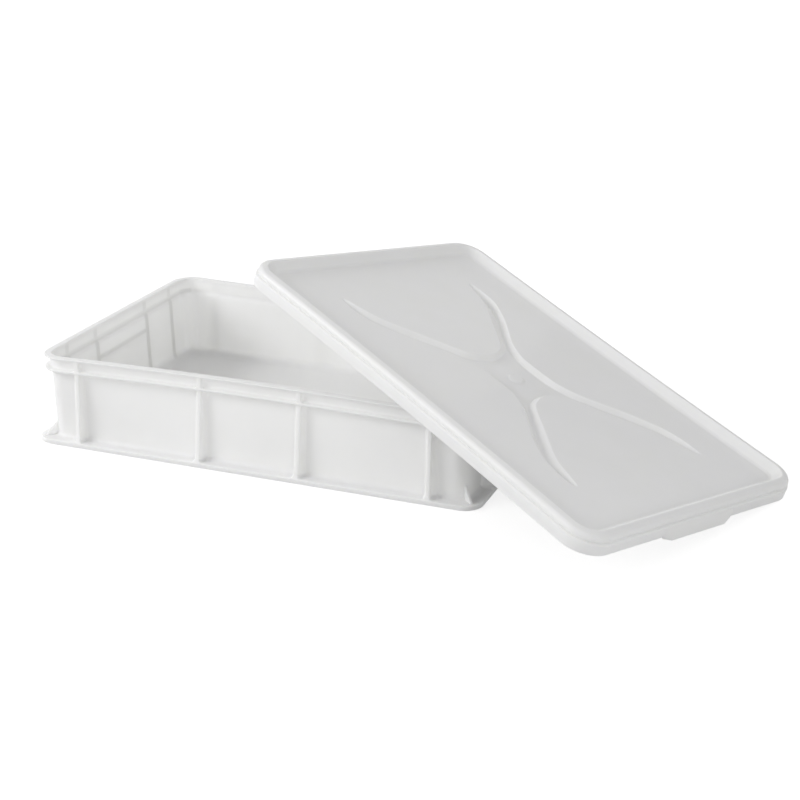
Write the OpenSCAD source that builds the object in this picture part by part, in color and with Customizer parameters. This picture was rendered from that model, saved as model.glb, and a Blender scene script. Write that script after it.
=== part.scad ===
// Stackable dough proofing container with a lift-off lid, both moulded in white
// polyethylene. The lid leans on the right-hand end of the container. Millimetres,
// X along the long sides, Y from front to back, Z up from the table.

/* [Container] */
// Length over the foot ring
foot_length = 600; // [300:1:900]
// Width over the foot ring
foot_width = 400; // [200:1:600]
// Height from the table to the top of the rim
box_height = 115; // [70:1:250]
// Corner radius of the foot ring
foot_corner = 24; // [15:1:60]
// How far the foot ring stands out beyond the rim
foot_overhang = 6; // [3:0.5:12]
// Wall thickness
wall = 3; // [2:0.1:5]
// How far a wall leans outwards from floor to shoulder
wall_draft = 3; // [0:0.5:8]
// Thickness of the floor
floor_thickness = 3; // [2:0.1:6]
// Radius between the floor and the inside of the wall
floor_fillet = 12; // [2:0.5:20]

/* [Rim and flange] */
// How far the rim stands out from the inside of the wall
rim_reach = 12; // [7:0.5:30]
// Thickness of the rim lip
rim_thickness = 2.6; // [1.5:0.1:6]
// Corner radius of the rim
rim_corner = 32; // [20:1:60]
// Height of the underside of the flange below the rim
flange_height = 95.5; // [40:0.5:200]
// Thickness of the flange
flange_thickness = 3.6; // [1.5:0.1:8]
// How far the wall steps outwards above the shoulder
shoulder_step = 2.5; // [0.5:0.5:6]
// Height of the shoulder inside the container
shoulder_height = 91; // [30:0.5:200]

/* [Ribs] */
// Distance between the two middle ribs of a long wall
rib_inner_spacing = 134; // [60:1:300]
// Distance between the two outer ribs of a long wall
rib_outer_spacing = 473; // [200:1:800]
// Distance between the two middle ribs of an end wall
end_rib_inner_spacing = 130; // [60:1:250]
// Distance between the two outer ribs of an end wall
end_rib_outer_spacing = 268; // [100:1:380]
// Thickness of a rib
rib_thickness = 6.5; // [2:0.5:12]
// Radius where a rib meets the wall
rib_fillet = 7; // [1:0.5:12]
// Height of the flared foot of a rib
rib_foot_height = 10; // [7:0.5:30]
// Height of the diagonal gusset at a corner
gusset_height = 24; // [10:0.5:60]
// Thickness of the diagonal gusset
gusset_thickness = 3; // [1:0.5:8]
// Height of the underside of the hand grip on an end wall
grip_height = 70; // [30:0.5:180]
// Thickness of the hand grip
grip_thickness = 3.2; // [1.5:0.1:8]

/* [Foot ring] */
// Thickness of the ledge round the foot
ledge_thickness = 3; // [2:0.1:6]
// Depth of the stacking groove under the ledge
groove_depth = 3; // [1:0.5:8]
// Clearance between the foot ring and the rim of the box below
stacking_clearance = 1.25; // [0.3:0.05:3]
// Radius between the wall and the ledge
ledge_fillet = 8; // [2:0.5:10]

/* [Lid] */
// Clearance between the skirt and the rim it covers
lid_clearance = 3; // [0.5:0.25:5]
// Thickness of the lid
lid_wall = 2.5; // [1.5:0.1:4]
// Height of the skirt below the shoulder
skirt_depth = 11; // [5:0.5:30]
// Height of the raised bead over the shoulder
bead_height = 14; // [8:0.5:30]
// Width of the bead across its round top
bead_width = 10; // [7:0.5:20]
// Depth of the sunken cross in the panel
cross_depth = 6; // [1:0.5:8]
// How far the walls of the cross slope
cross_slope = 5; // [1:0.5:7]
// Half length between the tips of the cross
cross_tip_x = 209; // [100:1:280]
// Half width between the tips of the cross
cross_tip_y = 118; // [60:1:170]
// Width of the grip tab
tab_width = 122; // [40:1:200]
// How far the grip tab hangs below the skirt
tab_drop = 5; // [1:0.5:8]
// How far the grip tab stands out
tab_reach = 4; // [1:0.5:10]

/* [Lid resting place] */
// Turn of the lid in its own plane
lid_turn = -25.23; // [-40:0.01:-15]
// How far the middle of the lid lies past the rim, down its slope
lid_past_rim = 4.36; // [0:0.01:60]
// How far the middle of the lid lies towards the back
lid_y = -56.4; // [-90:0.1:-30]
// Clearance between the bed of the cross and the rim under it
rest_clearance = 1.51; // [1.2:0.01:2]
// Clearance between the skirt's lower edge and the rim or the table
edge_clearance = 0.34; // [0.1:0.01:0.5]

/* [Hidden] */
$fn = 96;
rim_half_x = foot_length / 2 - foot_overhang;
rim_half_y = foot_width / 2 - foot_overhang;
inner_half_x = rim_half_x - rim_reach;
inner_half_y = rim_half_y - rim_reach;
inner_corner = rim_corner - rim_reach;
ledge_top = groove_depth + ledge_thickness;
groove_floor = groove_depth;
foot_in = foot_overhang - stacking_clearance;
pad_inset = wall_draft + 1;
flange_top = flange_height + flange_thickness;
rim_bottom = box_height - rim_thickness;
lip_radius = rim_thickness / 2;
flange_radius = flange_thickness / 2;
upper_out = shoulder_step + wall;
rib_root = wall / 2;
rib_places = [-rib_outer_spacing, -rib_inner_spacing, rib_inner_spacing, rib_outer_spacing] / 2;
end_rib_places = [
    -end_rib_outer_spacing, -end_rib_inner_spacing,
    end_rib_inner_spacing, end_rib_outer_spacing
] / 2;
tiny = 0.01;
lid_height = skirt_depth + bead_height;
panel_top = skirt_depth + lid_wall;
bead_radius = bead_width / 2;
bead_centre = lid_height - bead_radius;
skirt_out = lid_clearance + lid_wall + 0.5;
bead_foot = bead_width + 5;
bead_toe = bead_width + 14;
tab_taper = 6;
pad_radius = 9;
pad_height = 1.2;
cross_cut = 0.22;

// The lid rests with the bed of its cross on the rim's end, its back skirt on the rim's
// corner and one corner of the skirt on the table.
lid_rest = skirt_depth - cross_depth - lip_radius - rest_clearance;
lid_tilt = asin((lid_rest + lip_radius + edge_clearance) / (rim_half_y + skirt_out - lid_wall));
corner_x = rim_half_x - rim_corner + (rim_corner + skirt_out) * cos(lid_turn);
corner_y = rim_half_y - rim_corner - (rim_corner + skirt_out) * sin(lid_turn);
stand_along = lid_past_rim + corner_x * cos(lid_turn) - corner_y * cos(lid_tilt) * sin(lid_turn);
stand_up = corner_y * sin(lid_tilt) - lid_rest;
stand_drop = box_height - lip_radius - edge_clearance;
lid_slope = atan2(stand_up, stand_along) + asin(stand_drop / norm([stand_along, stand_up]));
lid_x = rim_half_x - lip_radius + lid_past_rim * cos(lid_slope) - lid_rest * sin(lid_slope);
lid_z = box_height - lip_radius - lid_past_rim * sin(lid_slope) - lid_rest * cos(lid_slope);

// Unit direction and outward normal of one side of a closed outline
function side_dir(p, i) =
    let (q = p[(i + 1) % len(p)] - p[i]) q / norm(q);
function side_normal(p, i) = let (d = side_dir(p, i)) [d[1], -d[0]];

// The outline grown by d, with mitred corners
function grown(p, d) = [
    for (i = [0 : len(p) - 1])
        let (a = side_normal(p, (i + len(p) - 1) % len(p)), b = side_normal(p, i))
        p[i] + (a + b) * d / (1 + a * b)
];

// Round rectangle with its middle at the origin, grown by out
module round_rect(half_x, half_y, radius, out = 0) {
    square([2 * (half_x - radius), 2 * (half_y + out)], center = true);
    square([2 * (half_x + out), 2 * (half_y - radius)], center = true);
    for (sx = [-1, 1], sy = [-1, 1])
        translate([sx * (half_x - radius), sy * (half_y - radius)]) circle(r = radius + out);
}

// Carries a section round the outline: its x is the way out, its y is up
module around(half_x, half_y, radius) {
    side_x = half_x - radius;
    side_y = half_y - radius;
    for (quarter = [[1, 1, 0], [-1, 1, 90], [-1, -1, 180], [1, -1, 270]])
        translate([quarter[0] * side_x, quarter[1] * side_y, 0]) rotate([0, 0, quarter[2]])
            rotate_extrude(angle = 90) translate([radius, 0]) children();
    for (turn = [0, 180])
        rotate([0, 0, turn]) rotate([90, 0, 0])
            linear_extrude(height = 2 * side_y, center = true)
                translate([half_x, 0]) children();
    for (turn = [90, 270])
        rotate([0, 0, turn]) rotate([90, 0, 0])
            linear_extrude(height = 2 * side_x, center = true)
                translate([half_y, 0]) children();
}

// Section of the container's wall with the rim lip and the flange below it
module wall_section() {
    polygon([
        [-wall_draft, groove_floor],
        [0, shoulder_height],
        [shoulder_step, shoulder_height + wall],
        [shoulder_step, box_height],
        [rim_reach - lip_radius, box_height],
        [rim_reach - lip_radius, rim_bottom],
        [upper_out, rim_bottom],
        [upper_out, flange_top],
        [rim_reach - flange_radius, flange_top],
        [rim_reach - flange_radius, flange_height],
        [wall, flange_height],
        [wall - wall_draft, groove_floor]
    ]);
    translate([rim_reach - lip_radius, box_height - lip_radius]) circle(r = lip_radius);
    translate([rim_reach - flange_radius, flange_top - flange_radius]) circle(r = flange_radius);
    // hollow round between wall and ledge
    difference() {
        translate([wall - wall_draft - tiny, ledge_top - tiny]) square([ledge_fillet, ledge_fillet]);
        translate([wall - wall_draft + ledge_fillet, ledge_top + ledge_fillet])
            circle(r = ledge_fillet);
    }
    // hollow round between floor and wall
    difference() {
        translate([-wall_draft - floor_fillet, floor_thickness - tiny])
            square([floor_fillet + wall / 2, floor_fillet]);
        translate([-wall_draft - floor_fillet, floor_thickness + floor_fillet])
            circle(r = floor_fillet);
    }
}

// Side view of a rib, out from the wall: vertical edge, flared foot
module rib_side(reach, foot_reach) {
    polygon([
        [rib_root - wall_draft, ledge_top - tiny],
        [foot_reach, ledge_top - tiny],
        [foot_reach, ledge_top],
        [reach + 1, rib_foot_height + ledge_top],
        [reach, flange_height + flange_radius],
        [reach, rim_bottom + tiny],
        [shoulder_step + rib_root, rim_bottom + tiny],
        [shoulder_step + rib_root, flange_height + tiny],
        [rib_root, flange_height - tiny]
    ]);
}

// Hollow rounds on both sides of a rib where it meets the wall, seen from above
module rib_rounds() {
    for (m = [0, 1])
        mirror([m, 0]) difference() {
            translate([rib_thickness / 2 - tiny, rib_root - wall_draft])
                square([rib_fillet, rib_fillet + wall / 2]);
            translate([rib_thickness / 2 + rib_fillet, wall - wall_draft + rib_fillet])
                circle(r = rib_fillet);
        }
}

// One rib standing on the wall's reference line, pointing along +Y
module rib() {
    rotate([90, 0, 90]) linear_extrude(height = rib_thickness, center = true)
        rib_side(rim_reach - lip_radius, rim_reach + foot_overhang - 1);
    translate([0, 0, ledge_top - tiny])
        linear_extrude(height = flange_height + tiny - ledge_top) rib_rounds();
}

// The foot: a ledge with a ring under it, a stacking groove and the floor
module foot() {
    difference() {
        linear_extrude(height = ledge_top)
            round_rect(foot_length / 2, foot_width / 2, foot_corner);
        translate([0, 0, -1]) linear_extrude(height = groove_depth + 1) difference() {
            round_rect(rim_half_x + stacking_clearance, rim_half_y + stacking_clearance,
                foot_corner - foot_in);
            round_rect(inner_half_x, inner_half_y, inner_corner, -pad_inset);
        }
        translate([0, 0, floor_thickness]) linear_extrude(height = ledge_top)
            round_rect(inner_half_x, inner_half_y, inner_corner, -pad_inset - wall);
    }
}

module container() {
    color([0.93, 0.93, 0.92]) {
        foot();
        around(inner_half_x, inner_half_y, inner_corner) wall_section();
        // ribs of the long walls and of the end walls
        for (turn = [0, 180], x = rib_places)
            rotate([0, 0, turn]) translate([x, inner_half_y, 0]) rib();
        for (turn = [90, 270], y = end_rib_places)
            rotate([0, 0, turn]) translate([y, inner_half_x, 0]) rib();
        // hand grip between the middle ribs of each end wall
        for (s = [0, 1])
            mirror([s, 0, 0]) translate([inner_half_x + rib_root, 0, grip_height])
                rotate([90, 0, 0]) linear_extrude(height = end_rib_inner_spacing, center = true) {
                    square([rim_reach - rib_root - grip_thickness / 2, grip_thickness]);
                    translate([rim_reach - rib_root - grip_thickness / 2, grip_thickness / 2])
                        circle(r = grip_thickness / 2);
                }
        // diagonal gussets at the corners of the foot
        for (mx = [0, 1], my = [0, 1])
            mirror([mx, 0, 0]) mirror([0, my, 0])
                translate([inner_half_x - inner_corner, inner_half_y - inner_corner, 0])
                    rotate([90, 0, 45]) linear_extrude(height = gusset_thickness, center = true)
                        polygon([
                            [inner_corner + rib_root - wall_draft, ledge_top - tiny],
                            [inner_corner + rim_reach + foot_overhang - 1, ledge_top - tiny],
                            [inner_corner + wall, gusset_height],
                            [inner_corner, gusset_height]
                        ]);
    }
}

// Section of the lid's edge, out from the outer face of the bead: skirt, shoulder
// and the hollow bead with its long inner slope
module lid_section() {
    difference() {
        union() {
            polygon([
                [0, skirt_depth],
                [0, bead_centre],
                [-bead_width, bead_centre],
                [-bead_foot, panel_top + 2],
                [-bead_toe, panel_top],
                [-bead_toe, skirt_depth]
            ]);
            translate([-bead_radius, bead_centre]) circle(r = bead_radius);
        }
        translate([-bead_radius, bead_centre]) circle(r = bead_radius - lid_wall);
        polygon([
            [-lid_wall, skirt_depth - 1],
            [-lid_wall, bead_centre],
            [lid_wall - bead_width, bead_centre],
            [lid_wall + 1 - bead_foot, panel_top - 1],
            [lid_wall + 1 - bead_foot, skirt_depth - 1]
        ]);
    }
    translate([-lid_wall, skirt_depth])
        square([skirt_out + lid_wall - lid_wall / 2, lid_wall]);
    translate([skirt_out - lid_wall, 0]) square([lid_wall, skirt_depth + lid_wall / 2]);
    translate([skirt_out - lid_wall / 2, skirt_depth + lid_wall / 2])
        circle(r = lid_wall / 2);
}

// Quarter of the sunken cross at the panel's level, as shares of the place of its tip:
// from the notch between two arms along one arm to its tip and back to the waist
cross_quarter = [
    [0.22, 0], [0.278, 0.254], [0.541, 0.559], [0.756, 0.822], [1, 0.95], [1, 1],
    [0.88, 1.01], [0.727, 0.966], [0.536, 0.78], [0.297, 0.458], [0.148, 0.339]
];
// How each of these points moves down the slope to the bed, in slope widths
cross_moves = [
    [-1, 0], [-0.6, 1], [-0.8, 1.2], [-1.2, 1], [-3.4, -0.2], [-3, -1],
    [-0.8, -1], [-0.2, -1], [0, -1.2], [0, -1.2], [-0.6, -1]
];
function cross_rim() = [for (p = cross_quarter) [p[0] * cross_tip_x, p[1] * cross_tip_y]];
function cross_bed() = let (rim = cross_rim())
    [for (i = [0 : len(rim) - 1]) rim[i] + cross_moves[i] * cross_slope];

// The quarter mirrored into the whole outline, anticlockwise
function whole_cross(a) = let (n = len(a)) concat(
    a,
    [for (i = [n - 1 : -1 : 0]) [-a[i][0], a[i][1]]],
    [for (i = [1 : n - 1]) [-a[i][0], -a[i][1]]],
    [for (i = [n - 1 : -1 : 1]) [a[i][0], -a[i][1]]]
);

// A closed outline with its corners cut off at that share of each side
function cornered(p, share) = [
    for (i = [0 : len(p) - 1], t = [share, 1 - share])
        p[i] + (p[(i + 1) % len(p)] - p[i]) * t
];

// The flat of the whole cross in pieces without hollow corners, anticlockwise: one in
// the middle and a row of them along each arm. Last is the end of the first arm's points.
function turned(list) = [for (i = [len(list) - 1 : -1 : 0]) list[i]];
function cross_pieces(last, n) =
    let (
        half = n / 2,
        arm = [for (k = [0 : (last - 1) / 2 - 1]) [k, k + 1, last - 1 - k, last - k]]
    )
    concat(
        [[
            0, last, last + 1, half - 2 - last, half - 1 - last, half - 1,
            half, half + last, half + last + 1, n - 2 - last, n - 1 - last, n - 1
        ]],
        arm,
        [for (p = arm) turned([for (i = p) half - 1 - i])],
        [for (p = arm) [for (i = p) half + i]],
        [for (p = arm) turned([for (i = p) n - 1 - i])]
    );

// Solid between the bed and the rim of the cross, both grown by out
module cross_solid(low, high, out) {
    bed = grown(cornered(whole_cross(cross_bed()), cross_cut), out);
    rim = grown(cornered(whole_cross(cross_rim()), cross_cut), out);
    n = len(bed);
    flat = cross_pieces(2 * len(cross_quarter) - 3, n);
    polyhedron(
        points = concat([for (q = bed) [q[0], q[1], low]], [for (q = rim) [q[0], q[1], high]]),
        faces = concat(
            flat,
            [for (p = flat) turned([for (i = p) n + i])],
            [for (i = [0 : n - 1]) [i, n + i, n + (i + 1) % n]],
            [for (i = [0 : n - 1]) [i, n + (i + 1) % n, (i + 1) % n]]
        )
    );
}

// Grip tab hanging below the skirt at one end
module grip_tab() {
    translate([rim_half_x + skirt_out - lid_wall, 0, 0]) rotate([90, 0, 90])
        linear_extrude(height = lid_wall + tab_reach) polygon([
            [-tab_width / 2 + tab_taper, -tab_drop],
            [tab_width / 2 - tab_taper, -tab_drop],
            [tab_width / 2, skirt_depth - 2],
            [-tab_width / 2, skirt_depth - 2]
        ]);
}

module lid_body() {
    difference() {
        union() {
            around(rim_half_x, rim_half_y, rim_corner) lid_section();
            translate([0, 0, skirt_depth]) linear_extrude(height = lid_wall)
                round_rect(rim_half_x, rim_half_y, rim_corner, 1 - bead_toe);
            cross_solid(skirt_depth - cross_depth, skirt_depth + lid_wall / 2, lid_wall);
        }
        cross_solid(panel_top - cross_depth, panel_top + tiny, 0);
    }
    // low round pad in the middle of the cross
    translate([0, 0, panel_top - cross_depth - lid_wall / 2])
        cylinder(r = pad_radius, h = lid_wall / 2 + pad_height);
    for (turn = [0, 180]) rotate([0, 0, turn]) grip_tab();
}

module lid() {
    color([0.91, 0.91, 0.90])
        translate([lid_x, lid_y, lid_z])
            rotate([0, lid_slope, 0]) rotate([0, 0, lid_turn]) rotate([lid_tilt, 0, 0]) lid_body();
}

container();
lid();
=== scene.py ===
import math

import bmesh
import bpy
from mathutils import Matrix, Vector


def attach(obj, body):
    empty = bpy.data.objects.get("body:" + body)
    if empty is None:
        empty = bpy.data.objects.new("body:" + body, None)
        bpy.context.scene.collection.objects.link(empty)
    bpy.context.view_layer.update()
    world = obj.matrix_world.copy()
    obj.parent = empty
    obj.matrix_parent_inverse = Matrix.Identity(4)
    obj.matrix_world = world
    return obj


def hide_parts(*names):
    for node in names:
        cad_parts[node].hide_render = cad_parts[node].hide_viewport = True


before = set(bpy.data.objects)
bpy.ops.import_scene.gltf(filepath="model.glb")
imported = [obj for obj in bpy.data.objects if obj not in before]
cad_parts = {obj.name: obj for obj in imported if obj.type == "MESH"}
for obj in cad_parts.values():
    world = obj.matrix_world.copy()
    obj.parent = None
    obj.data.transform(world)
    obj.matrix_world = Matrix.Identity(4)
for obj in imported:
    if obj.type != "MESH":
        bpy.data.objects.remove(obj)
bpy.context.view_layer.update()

scene = bpy.context.scene
MM = 0.001


# Camera: a 73 mm lens a little over two metres away, turned 21 degrees to the left
# and looking 21 degrees down, as the photograph was taken.
LENS = 73.186
SENSOR_WIDTH = 36
VIEW_END = 60
EYE = Vector((0.840368, -1.828927, 0.792913))
RIGHT = Vector((0.931016, 0.364970, 0.002563))
DOWN = Vector((0.132010, -0.330184, -0.934640))
FORWARD = Vector((-0.340270, 0.870503, -0.355586))
camera_data = bpy.data.cameras.new("camera")
camera_data.lens = LENS
camera_data.sensor_width = SENSOR_WIDTH
camera_data.clip_end = VIEW_END
camera = bpy.data.objects.new("camera", camera_data)
scene.collection.objects.link(camera)
stand = Matrix((RIGHT, -DOWN, -FORWARD)).transposed().to_4x4()
stand.translation = EYE
camera.matrix_world = stand
scene.camera = camera


# Floor: a wide sheet of pale studio paper. The camera sees it white, with the contact
# shadow left close to the object, and it throws a soft light back up.
PAPER = "#D8D8D8"
WHITE = (1, 1, 1, 1)
SHADOW_SHARE = 0.40        # share of the seen floor that takes the object's shadow
SHADOW_REACH = (0.5, 1.3)  # metres from the middle over which that share fades out
WHITE_LIFT = 0.17          # glow that brings the unshaded floor to white
FLOOR_HALF = 9.0
FLOOR_DROP = -0.0004       # metres under the object's base, so that the two don't coincide


def add_node(tree, kind, settings=None, **links):
    """A node of that kind with its settings. links holds, for an input's name or for _ and
    its number, the output to join to it or a plain value."""
    node = tree.nodes.new(kind)
    for name, value in (settings or {}).items():
        setattr(node, name, value)
    for name, value in links.items():
        key = int(name[1:]) if name.startswith("_") else name.replace("_", " ")
        if isinstance(value, bpy.types.NodeSocket):
            tree.links.new(value, node.inputs[key])
        else:
            node.inputs[key].default_value = value
    return node


def linear(code):
    """sRGB hex code to a linear colour."""
    parts = [int(code[i:i + 2], 16) / 255 for i in (1, 3, 5)]
    return [c / 12.92 if c <= 0.04045 else ((c + 0.055) / 1.055) ** 2.4 for c in parts] + [1.0]


def new_material(name):
    """A material with an empty node tree."""
    made = bpy.data.materials.new(name)
    made.use_nodes = True
    made.node_tree.nodes.clear()
    return made


paper = new_material("studio_paper")
tree = paper.node_tree
rays = add_node(tree, "ShaderNodeLightPath")
matt = add_node(tree, "ShaderNodeBsdfDiffuse", Color=linear(PAPER))
bright = add_node(tree, "ShaderNodeBsdfDiffuse", Color=WHITE)
glow = add_node(tree, "ShaderNodeEmission", Color=WHITE, Strength=1.0)
where = add_node(tree, "ShaderNodeTexCoord").outputs["Object"]
away = add_node(tree, "ShaderNodeVectorMath", {"operation": "LENGTH"}, _0=where)
share = add_node(tree, "ShaderNodeMapRange", Value=away.outputs["Value"],
                 From_Min=SHADOW_REACH[0], From_Max=SHADOW_REACH[1],
                 To_Min=SHADOW_SHARE, To_Max=0.0)
near = add_node(tree, "ShaderNodeMixShader", _0=share.outputs[0],
                _1=glow.outputs[0], _2=bright.outputs[0])
lift = add_node(tree, "ShaderNodeEmission", Color=WHITE, Strength=WHITE_LIFT)
seen = add_node(tree, "ShaderNodeAddShader", _0=near.outputs[0], _1=lift.outputs[0])
direct = add_node(tree, "ShaderNodeMath", {"operation": "MAXIMUM"},
                  _0=rays.outputs["Is Camera Ray"], _1=rays.outputs["Is Glossy Ray"])
sheet = add_node(tree, "ShaderNodeMixShader", _0=direct.outputs[0],
                 _1=matt.outputs[0], _2=seen.outputs[0])
add_node(tree, "ShaderNodeOutputMaterial", Surface=sheet.outputs[0])

bm = bmesh.new()
bmesh.ops.create_grid(bm, x_segments=2, y_segments=2, size=FLOOR_HALF,
                      matrix=Matrix.Translation((0, 0, FLOOR_DROP)))
floor_mesh = bpy.data.meshes.new("floor")
bm.to_mesh(floor_mesh)
bm.free()
floor = bpy.data.objects.new("floor", floor_mesh)
floor_mesh.materials.append(paper)
scene.collection.objects.link(floor)


# Light: an even white room, a large soft box in front on the left, a weak one low in
# front on the right, and one low behind, whose light comes through the translucent
# walls into the box.
ROOM_LEVEL = 0.55
world = bpy.data.worlds.new("room")
world.use_nodes = True
scene.world = world
tree = world.node_tree
tree.nodes.clear()
rays = add_node(tree, "ShaderNodeLightPath")
room = add_node(tree, "ShaderNodeBackground", Color=WHITE, Strength=ROOM_LEVEL)
backdrop = add_node(tree, "ShaderNodeBackground", Color=WHITE, Strength=1.0)
split = add_node(tree, "ShaderNodeMixShader", _0=rays.outputs["Is Camera Ray"],
                 _1=room.outputs[0], _2=backdrop.outputs[0])
add_node(tree, "ShaderNodeOutputWorld", Surface=split.outputs[0])


def soft_box(name, place, size, watts, aim):
    """A rectangular soft box at a place, turned towards what it lights."""
    data = bpy.data.lights.new(name, "AREA")
    data.shape = "RECTANGLE"
    data.size, data.size_y = size
    data.energy = watts
    made = bpy.data.objects.new(name, data)
    made.location = place
    made.rotation_euler = (Vector(aim) - Vector(place)).to_track_quat("-Z", "Y").to_euler()
    scene.collection.objects.link(made)
    return made


soft_box("front_box", place=(-2.45, -1.45, 1.65), size=(1.3, 1.3), watts=45, aim=(0.1, 0, 0.08))
soft_box("fill_box", place=(1.9, -1.9, 0.5), size=(1.2, 0.8), watts=8, aim=(0.5, -0.1, 0.05))
low_box = soft_box("low_box", place=(-0.9, 2.5, 0.8), size=(1.6, 0.7), watts=25,
                   aim=(-0.05, 0.1, 0.05))
low_box.visible_glossy = False  # it leaves no glare on the rim
scene.view_settings.view_transform = "Standard"


# Container: one injection-moulded piece of natural white polyethylene. A drafted wall
# stands on a flat foot ring, with a shoulder, a flange and a thin rim lip at the top.
# Tapered ribs, two hand grips and four corner gussets stiffen it from outside.
FOOT_HALF = (300, 200)
FOOT_CORNER = 24
FOOT_EDGE = 0.9
FOOT_RING = 4.75     # width of the ring that stands on the table
GROOVE_TOP = 3
LEDGE_TOP = 6
FLOOR_TOP = 3
PAD_IN = 4           # the pad under the floor ends this far inside the wall's inner face
HOLLOW_IN = 6        # and the flat of the floor this far inside it
INNER_HALF = (282, 182)
INNER_CORNER = 20
BOX_HEIGHT = 115
SHOULDER_Z = 91
WALL_OUT = 3         # outer face below the shoulder, out from the inner face
WALL_DRAFT = 0.8     # how far that face draws in from there down to the floor
RIM_FACES = (2.5, 5.5)
FLANGE_Z = (95.5, 99.1)
LIP_UNDER = 112.4
REACH = 12           # how far flange, lip and grip stand out from the inner face
SINK = 0.1           # how far joined pieces go into each other
PAST = 1             # how far a cutter goes past what it cuts
NEAR = 1e-6          # metres within which two places are the same
SIDE_STEPS = 24
END_STEPS = 16
CORNER_STEPS = 14
ROUND_STEPS = (2, 10)


def new_object(name, bm):
    """An object in the scene from a finished bmesh."""
    mesh = bpy.data.meshes.new(name)
    bm.to_mesh(mesh)
    bm.free()
    made = bpy.data.objects.new(name, mesh)
    scene.collection.objects.link(made)
    return made


def rounded_face(bm, corners, segments=6):
    """A face through (across, up, rounding) corners in the YZ plane, in millimetres, with
    so many segments to a rounding of 4 mm."""
    old = set(bm.faces)
    verts = [bm.verts.new((0, across * MM, up * MM)) for across, up, rounding in corners]
    bm.faces.new(verts)
    for size in sorted({c[2] for c in corners if c[2]}, reverse=True):
        group = [v for v, c in zip(verts, corners) if c[2] == size]
        steps = max(ROUND_STEPS[0], min(ROUND_STEPS[1], round(segments * math.sqrt(size / 4))))
        bmesh.ops.bevel(bm, geom=group, offset=size * MM, offset_type="OFFSET", segments=steps,
                        profile=0.5, affect="VERTICES", clamp_overlap=False, material=-1)
    return next(f for f in bm.faces if f not in old)


def carry_round(bm, half, radius):
    """Carries the edges in bm, drawn at Y out and Z up, round a rectangle with round corners."""
    reach_x, reach_y = (half[0] - radius) * MM, (half[1] - radius) * MM
    bmesh.ops.rotate(bm, verts=bm.verts[:], cent=(0, 0, 0),
                     matrix=Matrix.Rotation(math.pi, 3, "Z"))
    bmesh.ops.translate(bm, verts=bm.verts[:], vec=(0, -half[1] * MM, 0))
    ends = bm.verts[:] + bm.edges[:]
    up = (0, 0, 1)
    ends = bmesh.ops.spin(bm, geom=ends, cent=(0, 0, 0), axis=up, angle=0, steps=SIDE_STEPS,
                          dvec=(reach_x / SIDE_STEPS, 0, 0))["geom_last"]
    ends = bmesh.ops.spin(bm, geom=ends, cent=(reach_x, -reach_y, 0), axis=up,
                          angle=math.pi / 2, steps=CORNER_STEPS)["geom_last"]
    bmesh.ops.spin(bm, geom=ends, cent=(0, 0, 0), axis=up, angle=0, steps=END_STEPS,
                   dvec=(0, reach_y / END_STEPS, 0))
    for axis in "XY":
        bmesh.ops.mirror(bm, geom=bm.verts[:] + bm.edges[:] + bm.faces[:], matrix=Matrix(),
                         merge_dist=NEAR, axis=axis)
    bmesh.ops.remove_doubles(bm, verts=bm.verts[:], dist=NEAR)
    bmesh.ops.recalc_face_normals(bm, faces=bm.faces[:])


def inset(half, radius, by):
    """Half sizes and corner radius of a rounded rectangle drawn inwards."""
    return (half[0] - by, half[1] - by), radius - by


def plate(name, half, radius, low, high, edge=0.0):
    """A flat plate with round corners and, where edge is given, softened edges."""
    bm = bmesh.new()
    size = Matrix.Diagonal((2 * half[0] * MM, 2 * half[1] * MM, (high - low) * MM, 1))
    middle = Matrix.Translation((0, 0, (low + high) / 2 * MM))
    bmesh.ops.create_cube(bm, size=1, matrix=middle @ size)
    upright = [e for e in bm.edges if abs(e.verts[0].co.z - e.verts[1].co.z) > NEAR]
    bmesh.ops.bevel(bm, geom=upright, offset=radius * MM, offset_type="OFFSET",
                    segments=CORNER_STEPS, profile=0.5, affect="EDGES", clamp_overlap=False,
                    material=-1)
    if edge:
        level = [e for e in bm.edges if abs(e.verts[0].co.z - e.verts[1].co.z) < NEAR]
        bmesh.ops.bevel(bm, geom=level, offset=edge * MM, offset_type="OFFSET", segments=3,
                        profile=0.5, affect="EDGES", clamp_overlap=False, material=-1)
    bmesh.ops.recalc_face_normals(bm, faces=bm.faces[:])
    return new_object(name, bm)


def combine(target, tool, operation="UNION"):
    """Joins tool to target, or cuts it out, and takes the tool away."""
    step = target.modifiers.new("step", "BOOLEAN")
    step.operation = operation
    step.solver = "MANIFOLD"
    step.object = tool
    graph = bpy.context.evaluated_depsgraph_get()
    mesh = bpy.data.meshes.new_from_object(target.evaluated_get(graph))
    target.modifiers.clear()
    target.data = mesh
    bpy.data.objects.remove(tool)


# foot ring with its stacking groove, and the floor
foot = plate("proofing_container", FOOT_HALF, FOOT_CORNER, 0, LEDGE_TOP, FOOT_EDGE)
groove = plate("groove", *inset(FOOT_HALF, FOOT_CORNER, FOOT_RING), -PAST, GROOVE_TOP)
pad = plate("pad", *inset(INNER_HALF, INNER_CORNER, PAD_IN), -2 * PAST, GROOVE_TOP + PAST)
combine(groove, pad, "DIFFERENCE")
combine(foot, groove, "DIFFERENCE")
hollow = plate("hollow", *inset(INNER_HALF, INNER_CORNER, HOLLOW_IN),
               FLOOR_TOP, LEDGE_TOP + 2 * PAST)
combine(foot, hollow, "DIFFERENCE")

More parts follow.
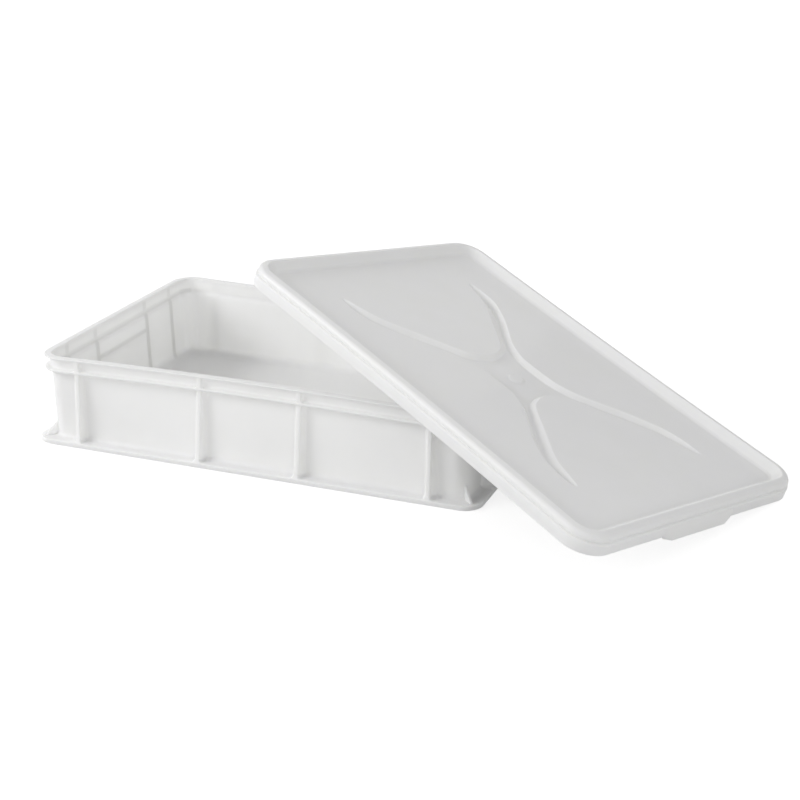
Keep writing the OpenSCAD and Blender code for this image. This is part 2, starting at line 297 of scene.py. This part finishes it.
# wall, shoulder, flange and rim lip carried round as one section, whose corners go from
# the floor up the inner face, over the rim and down the outer face
bm = bmesh.new()
face = rounded_face(bm, [
    (-16, FLOOR_TOP - SINK, 0), (-3, FLOOR_TOP - SINK, 12), (0, SHOULDER_Z + 0.5, 3),
    (RIM_FACES[0], 97, 2), (RIM_FACES[0], BOX_HEIGHT, 1), (REACH, BOX_HEIGHT, 1.2),
    (REACH, LIP_UNDER, 1.2), (RIM_FACES[1], LIP_UNDER, 2.2), (RIM_FACES[1], FLANGE_Z[1], 2.6),
    (REACH, FLANGE_Z[1], 1.6), (REACH, FLANGE_Z[0], 1.6), (3.2, FLANGE_Z[0], 2.2),
    (WALL_OUT - WALL_DRAFT, LEDGE_TOP - SINK, 6), (9, LEDGE_TOP - SINK, 0), (9, 4, 0),
    (-16, 1.5, 0),
])
bmesh.ops.delete(bm, geom=[face], context="FACES_ONLY")
carry_round(bm, INNER_HALF, INNER_CORNER)
combine(foot, new_object("wall", bm))

# ribs below the flange, with a hollow round along both sides and a flared foot, and their
# short upper ends between the flange and the rim lip
LONG_RIBS = (-236.5, -67, 67, 236.5)
END_RIBS = (-134, -65, 65, 134)
RIB_HALF = 3.1
RIB_REACH = 10.9
RIB_EDGE = 1.3
RIB_ROOT = 1             # depth of its root in the wall, and that root's extra width
RIB_SEGMENTS = 8
LOWER_ROUND = 7
UPPER_ROUND = 3.4
LOWER_LEVELS = (LEDGE_TOP - 1, LEDGE_TOP, 6.6, 7.4, 8.6, 10.2, 12.5, 16, 30, 60, 92.5, 94,
                95, 95.8)
UPPER_LEVELS = (98, 99.1, 99.6, 100.4, 101.6, 110, 111.2, 112, 112.4, 113.6)
LEDGE_ROUND = 4.5        # hollow round of the sides on the ledge
BURIED_WIDENING = 4.0    # widening inside the ledge
FLANGE_WIDENING = 1.3    # widening under the flange, and the height it takes
FLANGE_RISE = 2
LEAN = 3.2               # how far it leans out to the foot, and the height it takes
LEAN_RISE = 90
FLARE = 3.1              # extra reach of the flared foot, its height and its curve
FLARE_RISE = 11
FLARE_CURVE = 2.2
END_WIDENING = 2.2       # widening at both ends of the upper part, and the height it takes
END_RISE = 2.4


def stack(bm, face, levels, put):
    """Pushes a flat face through the levels; put says where a plan point goes at a level."""
    plan = {v: (v.co.y / MM, v.co.z / MM) for v in face.verts}
    for v, point in plan.items():
        v.co = put(point, levels[0])
    for i, level in enumerate(levels[1:]):
        seen = {v.co.to_tuple(7): plan[v] for v in face.verts}
        made = bmesh.ops.extrude_face_region(bm, geom=[face], use_keep_orig=True)["geom"]
        if i:
            bmesh.ops.delete(bm, geom=[face], context="FACES_ONLY")
        face = next(g for g in made if isinstance(g, bmesh.types.BMFace))
        plan = {v: seen[v.co.to_tuple(7)] for v in face.verts}
        for v, point in plan.items():
            v.co = put(point, level)


def lower_rib(z):
    """(wall, widening of the sides, reach) of a rib below the flange at height z, where the
    wall is its drafted outer face."""
    wall = WALL_OUT - WALL_DRAFT * (SHOULDER_Z - z) / (SHOULDER_Z - FLOOR_TOP)
    above = max(0.0, z - LEDGE_TOP)
    soft = max(0.0, 1 - above / LEDGE_ROUND)
    widening = LEDGE_ROUND * (1 - math.sqrt(1 - soft * soft)) if above else BURIED_WIDENING
    widening += FLANGE_WIDENING * max(0.0, 1 - (FLANGE_Z[0] - z) / FLANGE_RISE) ** 2
    flare = FLARE * max(0.0, 1 - above / FLARE_RISE) ** FLARE_CURVE
    return wall, widening, RIB_REACH + LEAN * (1 - above / LEAN_RISE) + flare


def upper_rib(z):
    """The same between the flange and the rim lip."""
    inside = FLANGE_Z[1] < z < LIP_UNDER
    near = min(abs(z - FLANGE_Z[1]), abs(LIP_UNDER - z)) if inside else 0
    return RIM_FACES[1], END_WIDENING * max(0.0, 1 - near / END_RISE) ** 2, RIB_REACH


def ribs(name, levels, shape, rounding):
    """Every rib of one height range in one mesh."""
    bm = bmesh.new()
    spots = [(x, turn, INNER_HALF[1]) for x in LONG_RIBS for turn in (0, 2)]
    spots += [(y, turn, INNER_HALF[0]) for y in END_RIBS for turn in (1, 3)]
    base = shape(levels[0])[0]
    wide = RIB_HALF + rounding + RIB_ROOT
    for spot, turn, half in spots:
        turned = Matrix.Rotation(turn * math.pi / 2, 3, "Z")

        def put(point, z):
            across, out = point
            wall, widening, reach = shape(z)
            if out > base:
                out = wall + (out - base) * (reach - wall) / (RIB_REACH - base)
            else:
                out += wall - base
            across += math.copysign(widening, across)
            return turned @ Vector(((spot + across) * MM, (half + out) * MM, z * MM))

        face = rounded_face(bm, [
            (-wide, base - SINK, 0), (-RIB_HALF, base - SINK, rounding),
            (-RIB_HALF, RIB_REACH, RIB_EDGE), (RIB_HALF, RIB_REACH, RIB_EDGE),
            (RIB_HALF, base - SINK, rounding), (wide, base - SINK, 0),
            (wide, base - RIB_ROOT, 0), (-wide, base - RIB_ROOT, 0),
        ], RIB_SEGMENTS)
        stack(bm, face, levels, put)
    bmesh.ops.recalc_face_normals(bm, faces=bm.faces[:])
    return new_object(name, bm)


combine(foot, ribs("lower_ribs", LOWER_LEVELS, lower_rib, LOWER_ROUND))
combine(foot, ribs("upper_ribs", UPPER_LEVELS, upper_rib, UPPER_ROUND))


def bars(name, corners, half, spots):
    """Straight bars of one (out, up) section, half as long to each side, with one at each
    (turn, x, y) spot."""
    bm = bmesh.new()
    for turn, x, y in spots:
        turned = Matrix.Rotation(math.radians(turn), 3, "Z")

        def put(point, across):
            out, up = point
            return turned @ Vector((across * MM, out * MM, up * MM)) + Vector((x * MM, y * MM, 0))

        stack(bm, rounded_face(bm, corners), (-half, half), put)
    bmesh.ops.recalc_face_normals(bm, faces=bm.faces[:])
    return new_object(name, bm)


# hand grip between the middle ribs of each end wall
GRIP_Z = (70, 73.2)
GRIP_HALF = 64
combine(foot, bars("grips", [
    (0.8, 67.4, 0), (2.15, 67.4, 0), (2.2, GRIP_Z[0], 2), (REACH, GRIP_Z[0], 1.4),
    (REACH, GRIP_Z[1], 1.4), (2.3, GRIP_Z[1], 2), (2.4, 75.8, 0), (0.8, 75.8, 0),
], GRIP_HALF, [(90, -INNER_HALF[0], 0), (270, INNER_HALF[0], 0)]))

# thin diagonal gusset at each corner of the foot, set out from the centre of its round
GUSSET_HALF = 1.5
corner_x, corner_y = INNER_HALF[0] - INNER_CORNER, INNER_HALF[1] - INNER_CORNER
combine(foot, bars("gussets", [
    (18.5, 4.5, 0), (39.5, 4.5, 0), (39.5, LEDGE_TOP + 0.4, 0.8), (22.4, 23.5, 1),
    (19.5, 23.5, 0),
], GUSSET_HALF, [(-45, corner_x, corner_y), (45, -corner_x, corner_y),
                 (135, -corner_x, -corner_y), (-135, corner_x, -corner_y)]))

# the long walls draw inwards at mid-length towards the rim, as thin moulded walls do
WALL_BOW = 9.5
BOW_HALF = 275       # the bow runs out this far from mid-length
BOW_LOW = 8          # height where it starts, and the height over which it grows
BOW_RISE = 85
LONG_WALL_FROM = 150
for v in foot.data.vertices:
    if abs(v.co.y) > LONG_WALL_FROM * MM and v.co.z > BOW_LOW * MM:
        along = max(0.0, 1 - (v.co.x / (BOW_HALF * MM)) ** 2)
        height = min(1.0, (v.co.z - BOW_LOW * MM) / (BOW_RISE * MM))
        v.co.y -= math.copysign(WALL_BOW * MM * along * height, v.co.y)

SHARP_ANGLE = 38
FLAT_WEIGHT = 60


def soften(made):
    """Smooth faces, with the sharp edges left crisp and the flat faces kept flat."""
    made.data.shade_smooth()
    made.data.set_sharp_from_angle(angle=math.radians(SHARP_ANGLE))
    flat = made.modifiers.new("flat_faces", "WEIGHTED_NORMAL")
    flat.keep_sharp = True
    flat.weight = FLAT_WEIGHT


soften(foot)

# painted shade: soft darker bands painted on the end walls' inner faces, where the ribs, the
# flange and the grip outside would show through the translucent wall
PAINTED_BAND_SHADE = "#E6E6E5"
BAND_SOFT = 3                # every band fades out over this
FLANGE_BAND = 1.6            # half widths of the bands
GRIP_BAND = 1.4
GRIP_BAND_END = 2            # how far the grip's band stops short of the grip's ends
RIB_BAND = 2.8
INNER_FACE = (279, 4.5)      # inner face of an end wall along the box, and its half depth
BAND_HEIGHTS = (60, 49, 5)   # middle, half height and fading of the wall that shows them


def band(tree, value, centre, half, soft=BAND_SOFT):
    """1 where value lies within half of the centre, fading to 0 over soft, in millimetres."""
    off = add_node(tree, "ShaderNodeMath", {"operation": "SUBTRACT"}, _0=value, _1=centre * MM)
    size = add_node(tree, "ShaderNodeMath", {"operation": "ABSOLUTE"}, _0=off.outputs[0])
    fade = add_node(tree, "ShaderNodeMapRange", Value=size.outputs[0], From_Min=half * MM,
                    From_Max=(half + soft) * MM, To_Min=1.0, To_Max=0.0)
    return fade.outputs[0]


def painted_through_shade(tree, where):
    """How much painted shade shows at a place: the darker bands of the grip, the flange and the
    ribs, painted on the inner face of both end walls where they would show through."""
    split = add_node(tree, "ShaderNodeSeparateXYZ", Vector=where)
    height = split.outputs["Z"]
    along, across = [add_node(tree, "ShaderNodeMath", {"operation": "ABSOLUTE"},
                              _0=split.outputs[axis]).outputs[0] for axis in "XY"]
    grip = band(tree, height, sum(GRIP_Z) / 2, GRIP_BAND)
    flange = band(tree, height, sum(FLANGE_Z) / 2, FLANGE_BAND)
    end_ribs = [band(tree, across, y, RIB_BAND) for y in END_RIBS if y > 0]
    steps = [("MULTIPLY", band(tree, across, 0, GRIP_HALF - GRIP_BAND_END)),
             ("MAXIMUM", flange)]
    steps += [("MAXIMUM", rib) for rib in end_ribs]
    steps += [("MULTIPLY", band(tree, along, *INNER_FACE)),
              ("MULTIPLY", band(tree, height, *BAND_HEIGHTS))]
    shown = grip
    for operation, other in steps:
        shown = add_node(tree, "ShaderNodeMath", {"operation": operation}, _0=shown, _1=other)
        shown = shown.outputs[0]
    return shown


# Polyethylene straight from the mould, whitish because light travels some way inside it.
# The base that lies on the table lets less light through, and it is also given a whiter colour as
# painted light that brightens the floor inside and the ledge.
PAINTED_BASE_LIGHT = "#FDFDFC"
BASE_FADE = (3, 12)          # heights over which the base gives way to the wall
GLOW_TINT = (1.0, 1.0, 0.96)
POLYETHYLENE_IOR = 1.51
NOISE_SPAN = (0.3, 0.7)      # the part of a noise's range that most of it lies in
CLOUDS = 14.0                # per metre: flow clouds about 70 mm apart
WAVES = 9.0                  # slow waves of the skin about 110 mm apart
GRAIN = 650.0                # spark texture 1.5 mm apart, as the real 0.4 mm wouldn't show
GLOSS_SPAN = (-0.04, 0.06)   # how the grain moves the roughness


def polyethylene(name, light, shade, roughness, glow_depth, base_depth, painted_rib_shade=False):
    """Natural white polyethylene from the mould: a waxy satin skin with a fine spark texture,
    faint flow clouds between light and shade, and light that travels glow_depth metres
    inside the wall, and base_depth metres in the base."""
    made = new_material(name)
    tree = made.node_tree
    where = add_node(tree, "ShaderNodeTexCoord").outputs["Object"]
    height = add_node(tree, "ShaderNodeSeparateXYZ", Vector=where).outputs["Z"]
    above = add_node(tree, "ShaderNodeMapRange", Value=height, From_Min=BASE_FADE[0] * MM,
                     From_Max=BASE_FADE[1] * MM, To_Min=0.0, To_Max=1.0)
    depth = add_node(tree, "ShaderNodeMapRange", Value=above.outputs[0], From_Min=0.0,
                     From_Max=1.0, To_Min=base_depth, To_Max=glow_depth)
    clouds = add_node(tree, "ShaderNodeTexNoise", Vector=where, Scale=CLOUDS, Detail=3.0,
                      Roughness=0.5)
    spread = add_node(tree, "ShaderNodeMapRange", Value=clouds.outputs[0],
                      From_Min=NOISE_SPAN[0], From_Max=NOISE_SPAN[1], To_Min=0.0, To_Max=1.0)
    body = add_node(tree, "ShaderNodeMix", {"data_type": "RGBA"}, Factor=spread.outputs[0],
                    _6=linear(light), _7=linear(shade))
    # painted light: up to the top of BASE_FADE the colour turns whiter, which brightens the floor
    # inside and the ledge
    colour = add_node(tree, "ShaderNodeMix", {"data_type": "RGBA"}, Factor=above.outputs[0],
                      _6=linear(PAINTED_BASE_LIGHT), _7=body.outputs[2])
    # painted shade: darker bands mixed into the colour on the end walls' inner faces, over the
    # ribs, the flange and the grip behind them
    if painted_rib_shade:
        colour = add_node(tree, "ShaderNodeMix", {"data_type": "RGBA"},
                          Factor=painted_through_shade(tree, where), _6=colour.outputs[2],
                          _7=linear(PAINTED_BAND_SHADE))
    grain = add_node(tree, "ShaderNodeTexNoise", Vector=where, Scale=GRAIN, Detail=2.0,
                     Roughness=0.6)
    waves = add_node(tree, "ShaderNodeTexNoise", Vector=where, Scale=WAVES, Detail=1.0,
                     Roughness=0.4)
    fine = add_node(tree, "ShaderNodeBump", Height=grain.outputs[0], Strength=0.10,
                    Distance=0.0002)
    broad = add_node(tree, "ShaderNodeBump", Height=waves.outputs[0], Strength=0.35,
                     Distance=0.0016, Normal=fine.outputs[0])
    gloss = add_node(tree, "ShaderNodeMapRange", Value=grain.outputs[0],
                     From_Min=NOISE_SPAN[0], From_Max=NOISE_SPAN[1],
                     To_Min=roughness + GLOSS_SPAN[0], To_Max=roughness + GLOSS_SPAN[1])
    skin = add_node(tree, "ShaderNodeBsdfPrincipled", Base_Color=colour.outputs[2],
                    Roughness=gloss.outputs[0], IOR=POLYETHYLENE_IOR, Normal=broad.outputs[0],
                    Subsurface_Weight=1.0, Subsurface_Radius=GLOW_TINT,
                    Subsurface_Scale=depth.outputs[0])
    add_node(tree, "ShaderNodeOutputMaterial", Surface=skin.outputs[0])
    return made


def dress(made, material, node):
    """Gives a piece its material, puts it on its body and lets it stand for the CAD solid."""
    made.data.materials.clear()
    made.data.materials.append(material)
    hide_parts(node)
    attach(made, node)


container_look = polyethylene("container_polyethylene", light="#F6F6F5", shade="#F3F3F2",
                              roughness=0.42, glow_depth=0.009, base_depth=0.0015, painted_rib_shade=True)
dress(foot, container_look, "container")


# Lid: a second moulding of the same white polyethylene. A hollow bead runs round a flat
# panel with a sunken cross, a short skirt below it covers the rim, and a small grip tab
# hangs at each end. It leans on the container's right-hand end.
LID_HALF = (294, 194)
LID_CORNER = 32
LID_SEGMENTS = 8
PANEL_TOP = 13.5
PANEL_UNDER = 11
PANEL_EDGE = -30     # how far in from the inner face of the rim the bead's section ends
SKIRT_FACES = (3.5, 6)
CROSS_DEPTH = 6
CROSS_SLOPE = 8      # width of the cross's sloping walls
CROSS_BELOW = 2      # how much wider the cross is on the underside
CROSS_TIP = (209, 118)
# one quarter of the cross's outline, from the long axis out round the arm and back to the
# short axis, as shares of the tip's place, and which way each corner moves to the bed
CROSS_QUARTER = [(0.22, 0), (0.278, 0.254), (0.541, 0.559), (0.756, 0.822), (1, 0.95), (1, 1),
                 (0.88, 1.01), (0.727, 0.966), (0.536, 0.78), (0.297, 0.458), (0.148, 0.339)]
CROSS_MOVES = [(-1, 0), (-0.6, 1), (-0.8, 1.2), (-1.2, 1), (-3.4, -0.2), (-3, -1),
               (-0.8, -1), (-0.2, -1), (0, -1.2), (0, -1.2), (-0.6, -1)]
CORNER_CUTS = (0.16, 0.25, 0.25)
# (share of the way in, share of the way down) of the slope, rounded at both ends
SLOPE = ((0.05, 0.01), (0.12, 0.05), (0.2, 0.13), (0.8, 0.87), (0.88, 0.95), (0.95, 0.99),
         (1, 1))


def whole_cross(quarter):
    """The quarter outline mirrored into the whole one."""
    back = [(-x, y) for x, y in reversed(quarter)]
    below = [(-x, -y) for x, y in quarter[1:]]
    front = [(x, -y) for x, y in reversed(quarter[1:])]
    return [Vector(p) for p in quarter + back + below + front]


def rounded_outline(points):
    """Cuts the corners of a closed outline a little further each time."""
    for share in CORNER_CUTS:
        points = [a.lerp(b, t) for a, b in zip(points, points[1:] + points[:1])
                  for t in (share, 1 - share)]
    return points


quarter_rim = [(x * CROSS_TIP[0], y * CROSS_TIP[1]) for x, y in CROSS_QUARTER]
quarter_bed = [(x + dx * CROSS_SLOPE, y + dy * CROSS_SLOPE)
               for (x, y), (dx, dy) in zip(quarter_rim, CROSS_MOVES)]
cross_rim = rounded_outline(whole_cross(quarter_rim))
cross_bed = rounded_outline(whole_cross(quarter_bed))


def ring_of(bm, points, z):
    """A closed ring of edges through plan points at height z."""
    verts = [bm.verts.new((p[0] * MM, p[1] * MM, z * MM)) for p in points]
    return [bm.edges.new((a, b)) for a, b in zip(verts, verts[1:] + verts[:1])]


def rim_edges(bm, z):
    """Open edges of the swept edge moulding at height z."""
    return [e for e in bm.edges
            if e.is_boundary and all(abs(v.co.z - z * MM) < NEAR for v in e.verts)]


def fill_level(bm, edges):
    """Fills the level area inside, or between, closed rings of edges."""
    bmesh.ops.triangle_fill(bm, edges=edges, use_beauty=True, use_dissolve=False,
                            normal=(0, 0, 1))


def sunken_panel(bm, outer, z, spread):
    """Fills the open outline with a panel and sinks the cross into it in soft slopes, wider
    by spread all round. Returns the open ring of edges round the cross's bed."""
    outline = [p + (p - q).normalized() * spread for p, q in zip(cross_rim, cross_bed)]
    bed = [q + (p - q).normalized() * spread for p, q in zip(cross_rim, cross_bed)]
    ring = ring_of(bm, outline, z)
    fill_level(bm, outer + ring)
    order = [e.verts[0] for e in ring]
    for share, drop in SLOPE:
        made = bmesh.ops.extrude_edge_only(bm, edges=ring)["geom"]
        fresh = [g for g in made if isinstance(g, bmesh.types.BMVert)]
        spot = {v.co.to_tuple(7): v for v in fresh}
        order = [spot[v.co.to_tuple(7)] for v in order]
        ring = [g for g in made if isinstance(g, bmesh.types.BMEdge) and g.is_boundary]
        for v, p, q in zip(order, outline, bed):
            at = p.lerp(q, share)
            v.co = (at.x * MM, at.y * MM, (z - CROSS_DEPTH * drop) * MM)
    return ring


# skirt, shoulder and bead carried round as one section, whose corners go from the panel
# out over the bead, down the skirt and back up the hollow inside of the bead
bm = bmesh.new()
face = rounded_face(bm, [
    (PANEL_EDGE, PANEL_TOP, 0), (-16.5, PANEL_TOP, 3.5), (-6.5, 25, 1.3), (4.2, 22.6, 4.8),
    (4.2, 16, 0.9), (2.9, 15.2, 0.5), (2.9, 14.2, 0.5), (SKIRT_FACES[1], 13.2, 1.2),
    (SKIRT_FACES[1], 0, 0.7), (SKIRT_FACES[0], 0, 0.7), (SKIRT_FACES[0], PANEL_UNDER, 1),
    (-2.5, PANEL_UNDER, 0.8), (0.2, 20.6, 1.4), (-5.8, 21.8, 1.2), (-13.4, 13, 0.8),
    (-14.8, PANEL_UNDER, 0.4), (PANEL_EDGE, PANEL_UNDER, 0),
], LID_SEGMENTS)
open_edge = next(e for e in bm.edges
                 if all(abs(v.co.y - PANEL_EDGE * MM) < NEAR for v in e.verts))
bmesh.ops.delete(bm, geom=[face], context="FACES_ONLY")
bmesh.ops.delete(bm, geom=[open_edge], context="EDGES")
carry_round(bm, LID_HALF, LID_CORNER)
bed_ring = sunken_panel(bm, rim_edges(bm, PANEL_TOP), PANEL_TOP, 0)

# low round pad in the middle of the bed, by radius and height
PAD = [(11.5, 0), (10.4, 0.25), (9.5, 0.8), (8.4, 1.15), (7.0, 1.2)]
PAD_SIDES = 40
bed_z = PANEL_TOP - CROSS_DEPTH
angles = [i * math.tau / PAD_SIDES for i in range(PAD_SIDES)]
pad_ring = ring_of(bm, [Vector((math.cos(a), math.sin(a))) * PAD[0][0] for a in angles], bed_z)
fill_level(bm, bed_ring + pad_ring)
for radius, up in PAD[1:]:
    made = bmesh.ops.extrude_edge_only(bm, edges=pad_ring)["geom"]
    pad_ring = [g for g in made if isinstance(g, bmesh.types.BMEdge) and g.is_boundary]
    for v in {v for e in pad_ring for v in e.verts}:
        outwards = Vector((v.co.x, v.co.y, 0)).normalized()
        v.co = outwards * radius * MM + Vector((0, 0, (bed_z + up) * MM))
bmesh.ops.edgeloop_fill(bm, edges=pad_ring)

# underside of the panel and of the cross
fill_level(bm, sunken_panel(bm, rim_edges(bm, PANEL_UNDER), PANEL_UNDER, CROSS_BELOW))
bmesh.ops.recalc_face_normals(bm, faces=bm.faces[:])
lid = new_object("proofing_lid", bm)

# grip tabs: wedges that grow out of the skirt at both ends and hang a little below it, by
# the corners of one half
TAB = [(297.6, 62, 11.5), (299.9, 62, 11.5), (297.6, 66, 0.6), (299.9, 66, 0.8),
       (297.6, 59, -5), (304, 49.5, -5), (304, 49.8, -3.4)]
TAB_EDGE = 0.5
LEVEL_ANGLE = 0.5    # degrees under which two faces of the hull become one
bm = bmesh.new()
for side in (-1, 1):
    verts = [bm.verts.new((side * x * MM, way * y * MM, z * MM))
             for x, y, z in TAB for way in (-1, 1)]
    bmesh.ops.convex_hull(bm, input=verts)
bmesh.ops.dissolve_limit(bm, angle_limit=math.radians(LEVEL_ANGLE), verts=bm.verts[:],
                         edges=bm.edges[:])
bmesh.ops.bevel(bm, geom=bm.edges[:], offset=TAB_EDGE * MM, offset_type="OFFSET", segments=2,
                profile=0.5, affect="EDGES", clamp_overlap=True, material=-1)
bmesh.ops.recalc_face_normals(bm, faces=bm.faces[:])
combine(lid, new_object("tabs", bm))

# the long sides draw in a little, then the lid is laid where it leans
LID_BOW = 4.5
LID_BOW_HALF = 285   # the bow runs out this far from mid-length
LID_BOW_FROM = 120   # it starts this far from the middle line and is whole after the rise
LID_BOW_RISE = 80
for v in lid.data.vertices:
    along = max(0.0, 1 - (v.co.x / (LID_BOW_HALF * MM)) ** 2)
    outer = max(0.0, (abs(v.co.y) - LID_BOW_FROM * MM) / (LID_BOW_RISE * MM))
    v.co.y -= math.copysign(LID_BOW * MM * along * outer, v.co.y)

LEAN_PLACE = (0.2961, -0.0564, 0.1102)
LEAN_SLOPE = 19.196  # degrees down to the right
LEAN_TURN = -25.23   # with the lower end swung to the front
LEAN_TILT = 1.11     # about its own long axis
lid.data.transform(Matrix.Translation(LEAN_PLACE)
                   @ Matrix.Rotation(math.radians(LEAN_SLOPE), 4, "Y")
                   @ Matrix.Rotation(math.radians(LEAN_TURN), 4, "Z")
                   @ Matrix.Rotation(math.radians(LEAN_TILT), 4, "X"))
soften(lid)
lid_look = polyethylene("lid_polyethylene", light="#F8F8F7", shade="#F5F5F4", roughness=0.40,
                        glow_depth=0.0025, base_depth=0.0025)
dress(lid, lid_look, "lid")
